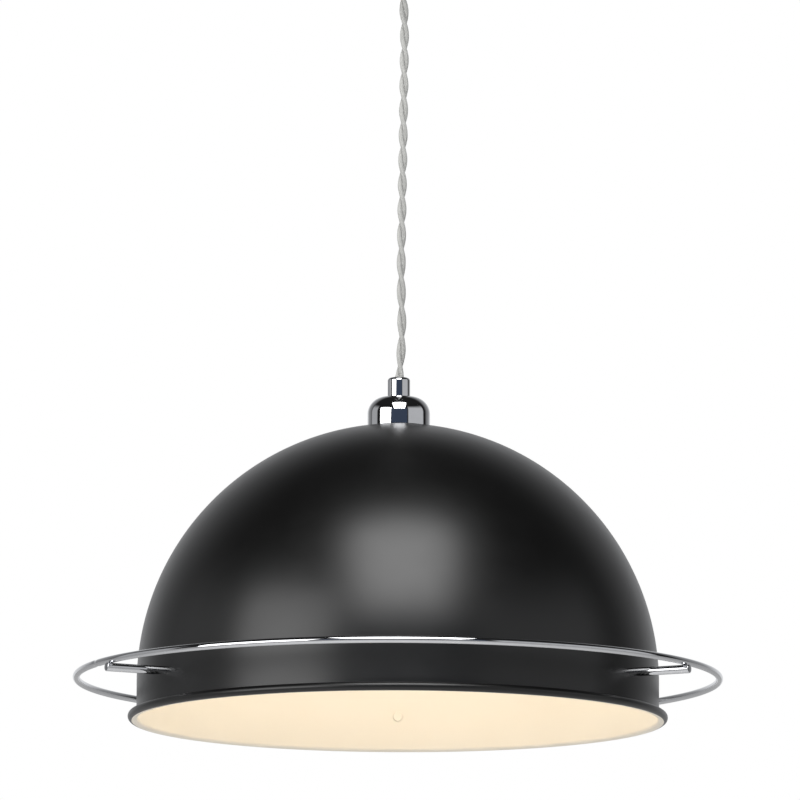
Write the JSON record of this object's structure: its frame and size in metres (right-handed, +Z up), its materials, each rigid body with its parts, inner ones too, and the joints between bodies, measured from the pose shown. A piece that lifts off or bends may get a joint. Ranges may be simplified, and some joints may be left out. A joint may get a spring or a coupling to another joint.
{
  "type": "pendant ceiling light",
  "caption": "Pendant light: black domed metal shade with a cream inside and a chrome halo ring on rods, hung on twisted textile flex from a ceiling cup.",
  "frame": {"origin": "centre of the bracket's top face, which lies on the ceiling", "axes": "+Z up; the light hangs down -Z; -Y is the front, between the two side rods; the back rod points along +Y"},
  "size_m": [0.4499, 0.451, 0.5645],
  "materials": {
    "bracket_steel": "zinc plated, satin",
    "chrome": "polished chrome plate",
    "nylon": "natural nylon",
    "brass": "plain brass",
    "flex_braid": "braided textile sleeve, light warm grey",
    "core_pvc": "PVC core insulation",
    "holder_moulding": "black heat-resistant moulding",
    "ceramic": "glazed steatite, modelled as a smooth white body",
    "shade_paint": "satin black outside, warm cream enamel inside",
    "halo_chrome": "polished chrome plated steel bar",
    "screw_steel": "zinc plated",
    "cream_paint": "screw heads enamelled with the shade's inside",
    "opal_glass": "opal, lit warm white",
    "cap_metal": "nickel plated brass",
    "black_glass": "black glass insulator",
    "stem_glass": "clear glass stem",
    "light_strip": "phosphor coated light strips"
  },
  "bodies": {
    "ceiling_mount": {"ceiling_bracket": "bracket_steel", "ceiling_cup": "chrome", "cup_side_screws": "screw_steel", "cup_cord_grip": "chrome", "cup_grip_nut": "screw_steel", "cup_grip_grub": "screw_steel", "terminal_block": "nylon", "terminal_tubes": "brass", "terminal_screws": "screw_steel", "block_screw": "screw_steel", "flex_ceiling_end": "flex_braid", "ceiling_core_pair": "core_pvc"},
    "flex_bend": {"flex_bend": "flex_braid"},
    "hanging_flex": {"flex_drop": "flex_braid"},
    "lamp": {"cord_grip_ferrule": "chrome", "ferrule_grub": "screw_steel", "holder_cover": "chrome", "threaded_nipple": "brass", "nipple_nut": "screw_steel", "lampholder_body": "holder_moulding", "ceramic_insert": "ceramic", "holder_terminals": "brass", "holder_terminal_screws": "screw_steel", "holder_core_pair": "core_pvc", "centre_contact": "brass", "screw_shell": "brass", "shade_ring": "holder_moulding", "shade": "shade_paint", "halo_ring": "halo_chrome", "halo_rod_left": "halo_chrome", "halo_rod_right": "halo_chrome", "halo_rod_back": "halo_chrome", "rod_screws": "cream_paint"},
    "bulb": {"bulb_glass": "opal_glass", "bulb_cap": "cap_metal", "bulb_insulator": "black_glass", "bulb_tip": "brass", "bulb_stem": "stem_glass", "bulb_filaments": "light_strip"}
  },
  "joints": [
    {"name": "swing_front_back", "type": "hinge", "parent": "ceiling_mount", "child": "flex_bend", "pos_m": [0, 0, -0.039], "axis": [1, 0, 0], "range_deg": [-20, 20]},
    {"name": "swing_side", "type": "hinge", "parent": "flex_bend", "child": "hanging_flex", "pos_m": [0, 0, -0.039], "axis": [0, 1, 0], "range_deg": [-20, 20]},
    {"name": "lamp_twist", "type": "hinge", "parent": "hanging_flex", "child": "lamp", "pos_m": [0, 0, -0.33], "axis": [0, 0, 1], "range_deg": [-180, 180]},
    {"name": "bulb_removal", "type": "slide", "parent": "lamp", "child": "bulb", "axis": [0, 0, -1], "range_m": [0, 0.03]}
  ]
}
